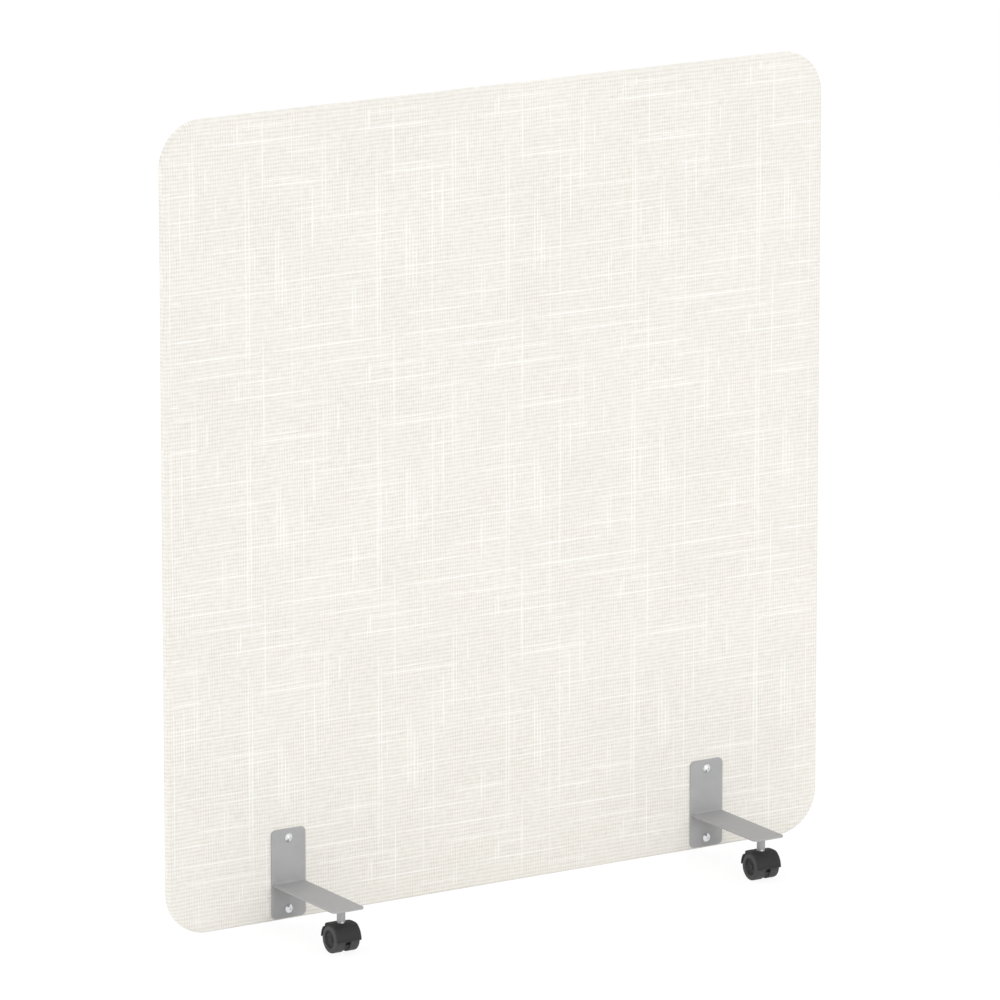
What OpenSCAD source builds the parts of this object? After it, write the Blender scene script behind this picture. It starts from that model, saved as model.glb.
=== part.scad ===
// Rolling partition: a fabric-covered screen panel that stands on four braked twin-wheel
// casters, each under a welded steel bracket that is bolted through the panel.
// X runs along the width, -Y is the front and +Z is up. The origin is on the floor,
// under the middle of the panel.

/* [Panel] */
// Width of the finished panel
panel_w = 1180; // [900:10:1800]
// Height of the finished panel
panel_h = 1254; // [900:2:1800]
// Radius of the four corners of the finished panel
corner_r = 70; // [40:5:120]
// Thickness of the stiff core board
core_t = 10; // [9:1:18]
// Radius along the edges of the core board
core_edge_r = 4; // [2:0.5:4]
// Thickness of the batting on each side of the board
batting_t = 1; // [0.6:0.2:2]
// Thickness of the upholstery fabric
fabric_t = 0.8; // [0.5:0.1:1.2]
// Height of the lower edge above the floor
panel_gap = 11.5; // [8:0.5:20]

/* [Brackets] */
// Distance between the two brackets on one side
bracket_pitch = 760; // [400:10:840]
// Width of a back plate
plate_w = 60; // [50:1:80]
// Height of a back plate
plate_h = 140; // [125:1:180]
// Thickness of the steel sheet
sheet_t = 2.5; // [2:0.5:4]
// Radius of the corners of the plates and arms
plate_corner_r = 8; // [4:1:12]
// Height of a plate's lower end above the lower edge of the panel
plate_lift = 4; // [0:1:20]
// Distance of a screw hole from the end of the plate
hole_inset = 14; // [12:1:20]
// Width of an arm
arm_w = 56; // [44:1:58]
// Distance from the panel's face to the tip of an arm
arm_reach = 182; // [150:1:220]
// Height of the top of an arm above the lower end of its plate
arm_up = 55; // [52:1:62]
// Distance of the stem from the tip of the arm
stem_inset = 25; // [20:1:40]
// Leg of the fillet welds
weld_leg = 3; // [2:0.5:4]

/* [Fixings] */
// Thread diameter of the panel screws
screw_d = 6; // [5:1:6]
// Length of a screw under its head
screw_l = 8; // [7:1:8]
// Diameter of a screw head
head_d = 13.5; // [10:0.5:14]
// Height of a screw head
head_h = 4; // [2.6:0.2:4.4]
// Outside diameter of a sleeve nut
sleeve_d = 9; // [8:0.5:10]

/* [Caster stems] */
// Outside diameter of the bush and of the stem's collar
neck_d = 13; // [11:0.2:14]
// Thread diameter of the stem
stem_thread_d = 8; // [6:1:8]
// Length of thread that is screwed into the bush
stem_thread_l = 14; // [10:1:14]
// Height of the stem's collar
collar_h = 2.5; // [2:0.5:3]
// Diameter of the journal that the hood turns on
journal_d = 6; // [5:0.5:6]

/* [Caster wheels] */
// Diameter of a wheel
wheel_d = 43; // [42:1:50]
// Width of one wheel
wheel_w = 16.25; // [15:0.25:18]
// Gap between the two wheels
wheel_gap = 9; // [8.5:0.5:11]
// Thickness of a wheel's rim
rim_t = 3.5; // [3:0.25:4]
// Diameter of the axle
axle_d = 5; // [4:0.5:5.5]
// Angle that the front casters stand at
front_swivel = 0; // [-180:15:180]
// Angle that the parked rear casters stand at
rear_swivel = 90; // [-180:15:180]

/* [Caster hoods] */
// Thickness of a hood's wall
hood_wall = 1.2; // [1:0.1:1.8]
// Radius of the edges along the sides of a hood
hood_edge_r = 2.5; // [2:0.25:3]
// Distance of a brake pedal's ends from the sides of the hood
pedal_inset = 3; // [0.5:0.5:6]
// Thickness of a brake pedal
pedal_t = 2; // [1.6:0.2:2.4]
// Length of a brake pedal
pedal_l = 9; // [8:0.5:12]
// Angle that a brake pedal swings down through
pedal_travel = 12; // [8:1:12]
// Diameter of the pin that a brake pedal swings on
pin_d = 3; // [2:0.5:3]

/* [Hidden] */
$fn = 64;
EPS = 0.01;

// Fits
run_gap = 0.05;                 // radial clearance of a running fit
seat_gap = 0.05;                // clearance of what is glued, screwed or pressed in
side_gap = 0.25;                // sideways clearance of what turns or swings
hole_gap = 0.3;                 // radial clearance of a screw in its plate

// Panel: the plies are nested round the edge of the board, a glue line apart
glue_gap = 0.1;
batting_off = glue_gap + batting_t;
fabric_off = batting_off + glue_gap + fabric_t;
half_core = core_t / 2;
half_panel = half_core + fabric_off;
panel_mid_z = panel_gap + panel_h / 2;

// Brackets
plate_mid_z = panel_gap + plate_lift + plate_h / 2;
hole_z = plate_h / 2 - hole_inset;
arm_top = panel_gap + plate_lift + arm_up;
stem_y = half_panel + arm_reach - stem_inset;
hole_d = screw_d + 2 * hole_gap;
sleeve_hole_d = sleeve_d + 2 * seat_gap;
socket_af = 4;                  // hexagon socket across its flats
socket_depth = 1.9;

// Wheels and web; the caster's axes start on the floor under the stem
wheel_r = wheel_d / 2;
rim_in_r = wheel_r - rim_t;
wheel_in_x = wheel_gap / 2;
wheel_out_x = wheel_in_x + wheel_w;
web_half = wheel_in_x - side_gap;
web_r = wheel_r - 1.5;
notch_h = 7;                    // finger notch in the web, under the front of the hood
notch_depth = 4.5;
tread_edge_r = 2;               // rounding of a wheel's outer edge
disc_t = 3;                     // wall behind the wheel's face
hub_wall = 3.5;
hub_r = axle_d / 2 + hub_wall;
bore_reach = 1.2;               // how far the axle's bore goes into the wall behind the face
groove_inset = 3;               // from the end of the bore to the groove
ring_in_r = wheel_r - 7.5;      // inside of the raised ring on the face
ring_slope = 1;                 // how far the ring's inner wall leans in
cap_r = 4.5;                    // raised middle of the face
cap_t = 1;
face_recess = 3;                // depth of the dish inside the ring
ridge_h = 0.3;                  // ridge in the hub that snaps into the axle's groove
groove_w = 1.6;
bore_l = wheel_w - face_recess - disc_t + bore_reach;
axle_half = wheel_in_x + bore_l - side_gap;
groove_x = wheel_in_x + bore_l - groove_inset;
rib_count = 6;
rib_t = 1.2;
rib_in = 7.5;                   // depth at which a wheel's ribs start

// Hood
tread_gap = 0.4;                // least gap between the tread and the hood
crown_top = wheel_r + tread_gap + hood_wall;
crown_r = 70;                   // radius of the flattened crown
hood_shift = 0.4;               // the hood reaches further forward than back
end_room = 3.6;                 // from the tread to the hood's lower ends
hood_r = wheel_r + hood_wall + end_room;
past = hood_r + 5;              // half size of what cuts across the whole hood
hood_overhang = 0.35;           // how far a hood stands out beyond its wheels
hood_half = wheel_out_x + hood_overhang;
bead_r = 1.4;                   // bead along a hood's lower ends
bead_out = 1;                   // how far a bead stands out
bead_up = 1.4;
boss_wall = 2.6;                // socket boss between the wheels
boss_gap = 1.2;                 // from the boss to the hubs and to the rims
boss_r = journal_d / 2 + boss_wall;
boss_low = hub_r + boss_gap;
boss_top = rim_in_r - boss_gap;
socket_floor = 1;
socket_low = boss_low + socket_floor;

// Stem and its ring
hood_top = wheel_r + crown_top;
stem_play = 0.4;                // below the stem's end and under its collar
lead_in = 0.6;                  // chamfer of the journal's end
collar_low = hood_top + stem_play;
bush_low = collar_low + collar_h;
bush_top = arm_top - sheet_t;
ring_up = 2.6;                  // from the socket's floor to the middle of the ring
ring_z = wheel_r + socket_low + ring_up;
ring_h = 1;
ring_groove_h = 1.4;
ring_bite = 0.8;                // depth of the ring in the stem and in the hood
ring_play = 0.1;
ring_split = 2.4;
ring_core_r = journal_d / 2 - ring_bite;
ring_out_r = journal_d / 2 + ring_bite;

// Brake pedal: shoe, pivot and pedal, from the axle's centre
shoe_r = 1.4;
shoe_rest_gap = 1.55;           // from the shoe at rest to the rims
shoe_room = 0.6;                // room round the shoe in the web
shoe_lift = 1.6;                // and above it, where it swings
shoe_reach = 6.5;               // under each rim
shoe_half = wheel_in_x + shoe_reach;
shoe_wall = 1;                  // least distance from the shoe to the boss
shoe_y = boss_r + shoe_wall + shoe_r;
shoe_orbit = rim_in_r - shoe_rest_gap - shoe_r;
shoe_z = sqrt(shoe_orbit * shoe_orbit - shoe_y * shoe_y);
pivot_back = 4.8;               // from the shoe to the pivot
pivot_down = 3.2;
pivot_y = shoe_y + pivot_back;
pivot_z = shoe_z - pivot_down;
pedal_corner_r = 7.5;           // the pedal's end is rounded off between its sides
pedal_clearance = 1.2;          // height of the pedal's front edge above the treads
arm_run = [pivot_y - shoe_y, pivot_z - shoe_z];
arm_side = [-arm_run[1], arm_run[0]] / norm(arm_run);
leg_y = pivot_y - 1.2;          // front of the leg that carries the pedal
leg_t = 4.5;
arm_half_t = 1.4;               // half thickness of the lever at its shoe
hub_gap = 0.2;                  // the lever's hub is this much less than the ear round it
grip_r = 0.4;                   // ridges along the pedal's end
grip_pitch = 1.6;
grip_count = 3;
grip_inset = 4.5;
ear_wall = 2.1;                 // web round the pedal's pin
ear_r = pin_d / 2 + ear_wall;
cheek_t = 1;                    // web on each side of the lever
lever_half = web_half - cheek_t - side_gap;
pedal_back = 0.5;               // from the pivot to the pedal's front edge
pedal_front = pivot_y + pedal_back;
pedal_low = sqrt(wheel_r * wheel_r - pedal_front * pedal_front) + pedal_clearance;
pedal_drop = (pedal_front + pedal_l - pivot_y) * sin(pedal_travel);
pedal_half = hood_half - pedal_inset;
leg_top = pedal_low + 0.5;
window_gap = 0.4;               // round the pedal, pressed and released
window_low = pedal_low - pedal_drop - window_gap;
window_front = pedal_front - window_gap;
rear_wall_gap = 1;              // from the web up to the top of the rear wall
slot_front = boss_r + 0.3;
slot_back = pivot_y + 5.7;
slot_low = pivot_z - ear_r - 0.1;
slot_top = leg_top + 0.5;

SIDES = [[-1, "left"], [1, "right"]];
FACES = [[-1, "front"], [1, "rear"]];
STATIONS = [for (face = FACES) for (side = SIDES) [side[0], face[0], str(side[1], "_", face[1])]];
STATION_PARTS = ["plate", "arm", "bush", "stem", "stem_ring", "hood", "axle", "wheel_1", "wheel_2",
                 "brake_pedal", "pedal_pin"];

// ---- placing ----

// Stands a panel layer up: its own +Z becomes the front or the rear.
module stand_panel(face) {
    translate([0, 0, panel_mid_z])
        rotate([face < 0 ? 90 : -90, 0, 0])
            children();
}

// On the panel's face at a bracket, with -Y away from the panel.
module at_bracket(s) {
    translate([s[0] * bracket_pitch / 2, s[1] * half_panel, 0])
        rotate([0, 0, s[1] < 0 ? 0 : 180])
            children();
}

// On the floor under a stem, turned with the caster.
module at_caster(s) {
    turn = s[1] < 0 ? front_swivel : 180 + s[0] * rear_swivel;
    translate([s[0] * bracket_pitch / 2, s[1] * stem_y, 0])
        rotate([0, 0, turn])
            children();
}

// At the middle of the axle of a caster.
module at_axle(s) {
    at_caster(s)
        translate([0, 0, wheel_r])
            children();
}

// ---- panel ----

// Section across the edge of a slab, from the corner's axis out: x is outwards, y is up.
// off is how far it stands outside the board.
module edge_section(off) {
    reach = corner_r - fabric_off + off;
    top = half_core + off;
    edge_r = core_edge_r + off;
    square([reach - edge_r, top]);
    square([reach, top - edge_r]);
    translate([reach - edge_r, top - edge_r]) circle(edge_r);
}

// The upper half of a section, where the circle of a low slab would pass the middle.
module half_section(off) {
    intersection() {
        edge_section(off);
        square([corner_r + 1, half_panel + 1]);
    }
}

// Carries a section round the panel's outline, with a rectangle of one height inside it.
module carry_round(low, high) {
    x = panel_w / 2 - corner_r;
    z = panel_h / 2 - corner_r;
    for (c = [[x, z, 0], [-x, z, 90], [-x, -z, 180], [x, -z, 270]])
        translate([c[0], c[1], 0])
            rotate([0, 0, c[2]])
                rotate_extrude(angle = 90) children();
    for (side = [0, 180]) {
        rotate([0, 0, side])
            translate([x, z, 0])
                rotate([90, 0, 0])
                    linear_extrude(2 * z) children();
        rotate([0, 0, side + 90])
            translate([z, x, 0])
                rotate([90, 0, 0])
                    linear_extrude(2 * x) children();
    }
    translate([-x, -z, low])
        cube([2 * x, 2 * z, high - low]);
}

// Holes through the panel at the screws, of one diameter.
module screw_holes(d) {
    for (side = SIDES)
        for (end = [-1, 1])
            translate([side[0] * bracket_pitch / 2, 0, plate_mid_z + end * hole_z])
                rotate([90, 0, 0])
                    cylinder(d = d, h = 2 * half_panel + 2, center = true);
}

module core_board() {
    color("burlywood")
        difference() {
            union() {
                for (face = [-1, 1])
                    stand_panel(face)
                        carry_round(0, half_core) half_section(0);
            }
            screw_holes(sleeve_hole_d);
        }
}

// A layer that covers one face and wraps round the edge to the middle of the thickness.
module ply(face, inner, outer, tint) {
    color(tint)
        difference() {
            stand_panel(face)
                carry_round(half_core + inner, half_core + outer)
                    difference() {
                        half_section(outer);
                        half_section(inner);
                        square([corner_r + 1, glue_gap / 2]);
                    }
            screw_holes(sleeve_hole_d);
        }
}

module batting(face) {
    ply(face, glue_gap, batting_off, "whitesmoke");
}

module cover(face) {
    ply(face, batting_off + glue_gap, fabric_off, "linen");
}

// ---- fixings ----

module sleeve_nuts() {
    color("silver")
        for (side = SIDES)
            for (end = [-1, 1])
                translate([side[0] * bracket_pitch / 2, 0, plate_mid_z + end * hole_z])
                    rotate([90, 0, 0])
                        difference() {
                            cylinder(d = sleeve_d, h = 2 * half_panel, center = true);
                            cylinder(d = screw_d, h = 2 * half_panel + 1, center = true);
                        }
}

// A screw along +Z, with the underside of its head at z = 0.
module screw() {
    crown = head_h - 1;
    dome_r = (pow(head_d / 2, 2) + pow(crown, 2)) / (2 * crown);
    difference() {
        union() {
            intersection() {
                cylinder(d = head_d, h = head_h);
                translate([0, 0, head_h - dome_r]) sphere(dome_r);
            }
            translate([0, 0, -screw_l]) cylinder(d = screw_d - 2 * seat_gap, h = screw_l + EPS);
        }
        translate([0, 0, head_h - socket_depth])
            cylinder(d = socket_af / cos(30), h = socket_depth + 1, $fn = 6);
    }
}

module panel_screws(face) {
    color("gainsboro")
        for (side = SIDES)
            for (end = [-1, 1])
                translate([side[0] * bracket_pitch / 2, face * (half_panel + sheet_t),
                           plate_mid_z + end * hole_z])
                    rotate([face < 0 ? 90 : -90, 0, 0])
                        screw();
}

// ---- brackets ----

// A flat outline with rounded corners.
module rounded_plate(w, h, r) {
    square([w - 2 * r, h], center = true);
    square([w, h - 2 * r], center = true);
    for (x = [-1, 1])
        for (y = [-1, 1])
            translate([x * (w / 2 - r), y * (h / 2 - r)]) circle(r);
}

module plate(s) {
    color("darkgray")
        at_bracket(s)
            translate([0, 0, plate_mid_z])
                rotate([90, 0, 0])
                    difference() {
                        linear_extrude(sheet_t) rounded_plate(plate_w, plate_h, plate_corner_r);
                        for (end = [-1, 1])
                            translate([0, end * hole_z, -1]) cylinder(d = hole_d, h = sheet_t + 2);
                    }
}

// Hollow fillet of a weld along X, in the corner between a wall at y = 0 and a floor at z = 0.
module weld_bead() {
    rotate([90, 0, -90])
        linear_extrude(arm_w - 2 * weld_leg, center = true)
            difference() {
                square(weld_leg);
                translate([weld_leg, weld_leg]) circle(weld_leg);
            }
}

module arm(s) {
    length = arm_reach - sheet_t;
    color("darkgray")
        at_bracket(s)
            translate([0, -sheet_t, arm_top]) {
                translate([0, 0, -sheet_t])
                    linear_extrude(sheet_t) {
                        translate([-arm_w / 2, plate_corner_r - length])
                            square([arm_w, length - plate_corner_r]);
                        translate([plate_corner_r - arm_w / 2, -length])
                            square([arm_w - 2 * plate_corner_r, plate_corner_r]);
                        for (x = [-1, 1])
                            translate([x * (arm_w / 2 - plate_corner_r), plate_corner_r - length])
                                circle(plate_corner_r);
                    }
                weld_bead();
                translate([0, 0, -sheet_t]) mirror([0, 0, 1]) weld_bead();
            }
}

module bush(s) {
    color("darkgray")
        at_caster(s)
            difference() {
                translate([0, 0, bush_low]) cylinder(d = neck_d, h = bush_top - bush_low);
                translate([0, 0, bush_low - 1])
                    cylinder(d = stem_thread_d, h = stem_thread_l + 2);
            }
}

// ---- casters ----

module stem(s) {
    journal_r = journal_d / 2;
    thread_r = stem_thread_d / 2 - seat_gap;
    thread_top = bush_low + stem_thread_l;
    low = wheel_r + socket_low + stem_play;
    groove_low = ring_z - ring_groove_h / 2;
    groove_high = ring_z + ring_groove_h / 2;
    color("silver")
        at_caster(s)
            rotate_extrude()
                polygon([
                    [0, low], [journal_r - lead_in, low], [journal_r, low + lead_in],
                    [journal_r, groove_low], [ring_core_r, groove_low],
                    [ring_core_r, groove_high], [journal_r, groove_high],
                    [journal_r, collar_low], [neck_d / 2, collar_low],
                    [neck_d / 2, bush_low], [thread_r, bush_low],
                    [thread_r, thread_top - 1], [thread_r - 1, thread_top], [0, thread_top]
                ]);
}

// Split ring that holds the hood on the stem.
module stem_ring(s) {
    color("dimgray")
        at_caster(s)
            translate([0, 0, ring_z - ring_h / 2])
                difference() {
                    cylinder(r = ring_out_r, h = ring_h);
                    translate([0, 0, -1]) cylinder(r = ring_core_r + seat_gap, h = ring_h + 2);
                    translate([0, -ring_split / 2, -1])
                        cube([2 * ring_out_r, ring_split, ring_h + 2]);
                }
}

// Side view of a hood with its lower ends at the axle's height, inset by one wall or none.
module hood_outline(inset) {
    intersection() {
        translate([-hood_shift, 0]) circle(hood_r - inset);
        translate([0, crown_top - crown_r]) circle(crown_r - inset);
        translate([-past, 0]) square([2 * past, past]);
    }
}

// Turns a side view, drawn with y forwards to the rear and z up, into a solid along X.
module along_axle(half) {
    rotate([90, 0, 90])
        linear_extrude(2 * half, center = true)
            children();
}

// A barrel about the hood's own axis with rounded edges.
module hood_barrel(r, half, edge) {
    translate([0, -hood_shift, 0])
        rotate([0, 90, 0])
            rotate_extrude() {
                translate([0, -half]) square([r - edge, 2 * half]);
                translate([0, edge - half]) square([r, 2 * (half - edge)]);
                for (side = [-1, 1])
                    translate([r - edge, side * (half - edge)]) circle(edge);
            }
}

module hood_shell() {
    difference() {
        intersection() {
            hood_barrel(hood_r, hood_half, hood_edge_r);
            along_axle(hood_half + 1) hood_outline(0);
        }
        intersection() {
            hood_barrel(hood_r - hood_wall, hood_half - hood_wall, hood_edge_r - hood_wall);
            along_axle(hood_half + 1) translate([0, -EPS]) hood_outline(hood_wall);
        }
        // The wheels go in from the sides
        rotate([0, 90, 0]) cylinder(r = wheel_r + tread_gap, h = 2 * hood_half + 2, center = true);
    }
    // Beads along the lower ends
    for (end = [[-1, -hood_shift - hood_r], [1, hood_r - hood_shift]])
        translate([0, end[1] + end[0] * (bead_out - bead_r), bead_up])
            rotate([0, 90, 0])
                cylinder(r = bead_r, h = 2 * (hood_half - hood_edge_r), center = true);
}

// The plate between the wheels. It fills the front up to the shell and carries the rear wall.
module hood_web() {
    along_axle(web_half) {
        difference() {
            circle(web_r);
            translate([-web_r - 1, -notch_h]) square([notch_depth + 1, notch_h]);
        }
        intersection() {
            hood_outline(hood_wall / 2);
            union() {
                translate([-past, 0]) square([past + boss_r, past]);
                square([past, window_low - rear_wall_gap]);
            }
        }
        translate([pivot_y, pivot_z]) circle(ear_r);
    }
}

module hood(s) {
    color("#3a3a3a")
        at_axle(s)
            difference() {
                union() {
                    hood_shell();
                    hood_web();
                    translate([0, 0, boss_low]) cylinder(r = boss_r, h = boss_top - boss_low);
                }
                // Socket for the stem, with a groove for its ring
                translate([0, 0, socket_low]) cylinder(r = journal_d / 2 + run_gap, h = hood_r);
                translate([0, 0, ring_z - wheel_r - ring_groove_h / 2])
                    cylinder(r = ring_out_r + ring_play, h = ring_groove_h);
                // Bore for the axle
                rotate([0, 90, 0]) cylinder(r = axle_d / 2, h = 2 * hood_half, center = true);
                // Opening for the pedal, as wide as the hood
                along_axle(hood_half + 1)
                    translate([window_front, window_low]) square(hood_r);
                // Slot for the lever and room for its shoe
                along_axle(lever_half + side_gap)
                    translate([slot_front, slot_low])
                        square([slot_back - slot_front, slot_top - slot_low]);
                along_axle(shoe_half + 1)
                    translate([shoe_y - shoe_r - shoe_room, shoe_z - shoe_r - shoe_room])
                        square(2 * shoe_r + shoe_room + shoe_lift);
                // Bore for the pedal's pin
                translate([0, pivot_y, pivot_z])
                    rotate([0, 90, 0]) cylinder(d = pin_d, h = 2 * web_half + 1, center = true);
            }
}

module axle(s) {
    axle_r = axle_d / 2;
    groove_r = axle_r - 2 * ridge_h;
    color("silver")
        at_axle(s)
            rotate([0, 90, 0])
                difference() {
                    cylinder(r = axle_r - EPS, h = 2 * axle_half, center = true);
                    for (side = [-1, 1])
                        translate([0, 0, side * groove_x])
                            difference() {
                                cylinder(r = axle_r + 1, h = groove_w, center = true);
                                cylinder(r = groove_r, h = groove_w + 1, center = true);
                            }
                }
}

// Half section of a wheel: x is the radius, y runs from the gap to the outer face.
module wheel_section() {
    inner_edge_r = 0.8;
    difference() {
        union() {
            translate([0, inner_edge_r]) square([wheel_r, wheel_w - tread_edge_r - inner_edge_r]);
            square([wheel_r - tread_edge_r, wheel_w]);
            square([wheel_r - inner_edge_r, wheel_w / 2]);
            translate([wheel_r - tread_edge_r, wheel_w - tread_edge_r]) circle(tread_edge_r);
            translate([wheel_r - inner_edge_r, inner_edge_r]) circle(inner_edge_r);
        }
        // Hollow between the hub and the rim
        translate([hub_r, -1]) square([rim_in_r - hub_r, wheel_w - disc_t - face_recess + 1]);
        // Dish inside the raised ring, with a low cap in its middle
        polygon([
            [0, wheel_w + 1], [0, wheel_w - face_recess + cap_t],
            [cap_r, wheel_w - face_recess + cap_t], [cap_r, wheel_w - face_recess],
            [ring_in_r - ring_slope, wheel_w - face_recess], [ring_in_r, wheel_w],
            [ring_in_r, wheel_w + 1]
        ]);
        // Bore with the ridge that snaps into the axle's groove
        translate([0, -1])
            square([axle_d / 2 + run_gap, groove_x - wheel_in_x - ridge_h + 1]);
        translate([0, groove_x - wheel_in_x + ridge_h])
            square([axle_d / 2 + run_gap, bore_l - groove_x + wheel_in_x - ridge_h]);
        translate([0, -1]) square([axle_d / 2 - ridge_h + run_gap, bore_l + 1]);
    }
}

module wheel(s, side) {
    color("#555555")
        at_axle(s)
            rotate([0, side * 90, 0])
                translate([0, 0, wheel_in_x]) {
                    rotate_extrude() wheel_section();
                    for (i = [0:rib_count - 1])
                        rotate([0, 0, i * 360 / rib_count])
                            translate([hub_r - 0.5, -rib_t / 2, rib_in])
                                cube([rim_in_r - hub_r + 1, rib_t,
                                      wheel_w - disc_t - face_recess - rib_in + 0.5]);
                }
}

module brake_pedal(s) {
    color("#303030")
        at_axle(s)
            difference() {
                union() {
                    // Lever between the cheeks of the web
                    along_axle(lever_half) {
                        translate([pivot_y, pivot_z]) circle(ear_r - hub_gap);
                        translate([shoe_y, shoe_z]) circle(shoe_r);
                        polygon([
                            [shoe_y, shoe_z] - arm_half_t * arm_side,
                            [shoe_y, shoe_z] + arm_half_t * arm_side,
                            [pivot_y, pivot_z] + (ear_r - 2 * hub_gap) * arm_side,
                            [pivot_y, pivot_z] - (ear_r - 2 * hub_gap) * arm_side
                        ]);
                        translate([leg_y, pivot_z]) square([leg_t, leg_top - pivot_z]);
                    }
                    // Shoe that reaches under both rims
                    translate([0, shoe_y, shoe_z])
                        rotate([0, 90, 0]) cylinder(r = shoe_r, h = 2 * shoe_half, center = true);
                    // Pedal with a rounded end and a raised grip along it
                    translate([0, pedal_front, pedal_low])
                        linear_extrude(pedal_t)
                            intersection() {
                                rounded_plate(2 * pedal_half, 2 * pedal_l, pedal_corner_r);
                                translate([-pedal_half, 0]) square([2 * pedal_half, pedal_l]);
                            }
                    for (i = [1:grip_count])
                        translate([0, pedal_front + pedal_l - grip_pitch * i, pedal_low + pedal_t])
                            rotate([0, 90, 0])
                                cylinder(r = grip_r, h = 2 * (pedal_half - grip_inset),
                                         center = true);
                }
                translate([0, pivot_y, pivot_z])
                    rotate([0, 90, 0])
                        cylinder(r = pin_d / 2 + run_gap, h = 2 * web_half + 1, center = true);
            }
}

module pedal_pin(s) {
    color("silver")
        at_axle(s)
            translate([0, pivot_y, pivot_z])
                rotate([0, 90, 0])
                    cylinder(r = pin_d / 2 - EPS, h = 2 * web_half, center = true);
}

// ---- nodes ----

core_board();
batting(-1);  // front_batting
batting(1);  // rear_batting
cover(-1);  // front_cover
cover(1);  // rear_cover
sleeve_nuts();
panel_screws(-1);  // front_screws
panel_screws(1);  // rear_screws
for (s = STATIONS) {
    plate(s);
    arm(s);
    bush(s);
    stem(s);
    stem_ring(s);
    hood(s);
    axle(s);
    wheel(s, -1);
    wheel(s, 1);
    brake_pedal(s);
    pedal_pin(s);
}
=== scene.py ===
"""Rolling partition: a cream fabric screen on four grey angle brackets with twin-wheel casters.

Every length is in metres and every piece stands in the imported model's own frame: the origin is on
the floor under the middle of the panel, +X runs along its width, -Y is its front and +Z is up.
"""

import logging
import math
from collections.abc import Iterable
from dataclasses import dataclass
from enum import Enum
from typing import Any, Protocol

import bmesh
import bpy
import numpy as np
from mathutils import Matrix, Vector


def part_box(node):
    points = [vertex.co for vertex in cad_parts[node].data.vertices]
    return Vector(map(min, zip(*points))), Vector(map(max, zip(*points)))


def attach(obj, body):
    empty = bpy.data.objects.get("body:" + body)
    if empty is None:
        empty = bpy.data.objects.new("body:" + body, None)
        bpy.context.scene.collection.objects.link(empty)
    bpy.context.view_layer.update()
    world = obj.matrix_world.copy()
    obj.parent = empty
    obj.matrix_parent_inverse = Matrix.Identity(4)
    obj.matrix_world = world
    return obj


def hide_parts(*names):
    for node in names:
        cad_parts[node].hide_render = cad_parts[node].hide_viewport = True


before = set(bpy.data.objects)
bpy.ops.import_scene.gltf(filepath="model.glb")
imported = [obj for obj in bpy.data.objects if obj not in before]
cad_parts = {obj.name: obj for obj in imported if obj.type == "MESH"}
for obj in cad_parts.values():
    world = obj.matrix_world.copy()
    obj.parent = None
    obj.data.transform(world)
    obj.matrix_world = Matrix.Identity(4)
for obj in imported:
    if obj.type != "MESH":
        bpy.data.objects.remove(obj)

Triple = tuple[float, float, float]
Colour = tuple[float, float, float, float]

LOG = logging.getLogger("rolling_partition")
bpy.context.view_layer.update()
MM = 0.001
WHITE: Colour = (1.0, 1.0, 1.0, 1.0)
PANEL_CORNER_R = 70 * MM
STATIONS = ("left_front", "right_front", "left_rear", "right_rear")
PANEL_BODY = "panel_frame"


class Face(Enum):
    """A side of the panel, with the sign of Y that it looks towards."""

    FRONT = -1
    REAR = 1

    def named(self, part: str) -> str:
        """Returns the name of this side's part, such as front_cover."""
        return f"{self.name.lower()}_{part}"

    def box(self) -> tuple[np.ndarray, np.ndarray]:
        """Returns the low and the high corner of this side's CAD cover."""
        low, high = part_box(self.named("cover"))
        return np.array(low), np.array(high)

    def level(self) -> float:
        """Returns how far the outside of this side's CAD cover is from the plane Y = 0."""
        low, high = self.box()
        return high[1] if self is Face.REAR else -low[1]


class Run(Enum):
    """The way a yarn runs in the cloth."""

    WEFT = "across"
    WARP = "upright"


# ---- helpers ----


def linear(code: str) -> Colour:
    """Turns an sRGB hex colour into linear light.

    Args:
        code: six hexadecimal digits, such as "a0a0a0".

    Returns:
        Red, green, blue and an alpha of 1.
    """
    shares = [int(code[i:i + 2], 16) / 255 for i in (0, 2, 4)]
    red, green, blue = (
        s / 12.92 if s <= 0.04045 else ((s + 0.055) / 1.055) ** 2.4 for s in shares
    )
    return red, green, blue, 1.0


def add_node(
    tree: bpy.types.NodeTree, kind: str, inputs: dict[str | int, Any] | None = None,
    stops: Iterable[tuple[float, str]] = (), **settings: Any
) -> bpy.types.Node:
    """Adds one node with its settings, and fills or links its inputs.

    Args:
        tree: the node tree that it goes into.
        kind: the node's class name.
        inputs: for each input's name or number, a value, or what to link to it: an output socket,
            or a node, which gives its first output.
        stops: a colour ramp's positions and sRGB hex colours, in rising order.
        settings: the node's own properties.

    Returns:
        The node.
    """
    node = tree.nodes.new(kind)
    for name, value in settings.items():
        setattr(node, name, value)
    for key, value in (inputs or {}).items():
        source = value.outputs[0] if isinstance(value, bpy.types.Node) else value
        if isinstance(source, bpy.types.NodeSocket):
            tree.links.new(source, node.inputs[key])
        else:
            node.inputs[key].default_value = source
    for index, (position, code) in enumerate(stops):
        elements = node.color_ramp.elements
        element = elements[index] if index < len(elements) else elements.new(position)
        element.position = position
        element.color = linear(code)
    return node


def new_material(name: str) -> bpy.types.Material:
    """Makes a material without nodes.

    Args:
        name: the material's name.

    Returns:
        The material.
    """
    material = bpy.data.materials.new(name)
    material.use_nodes = True
    material.node_tree.nodes.clear()
    return material


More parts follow.
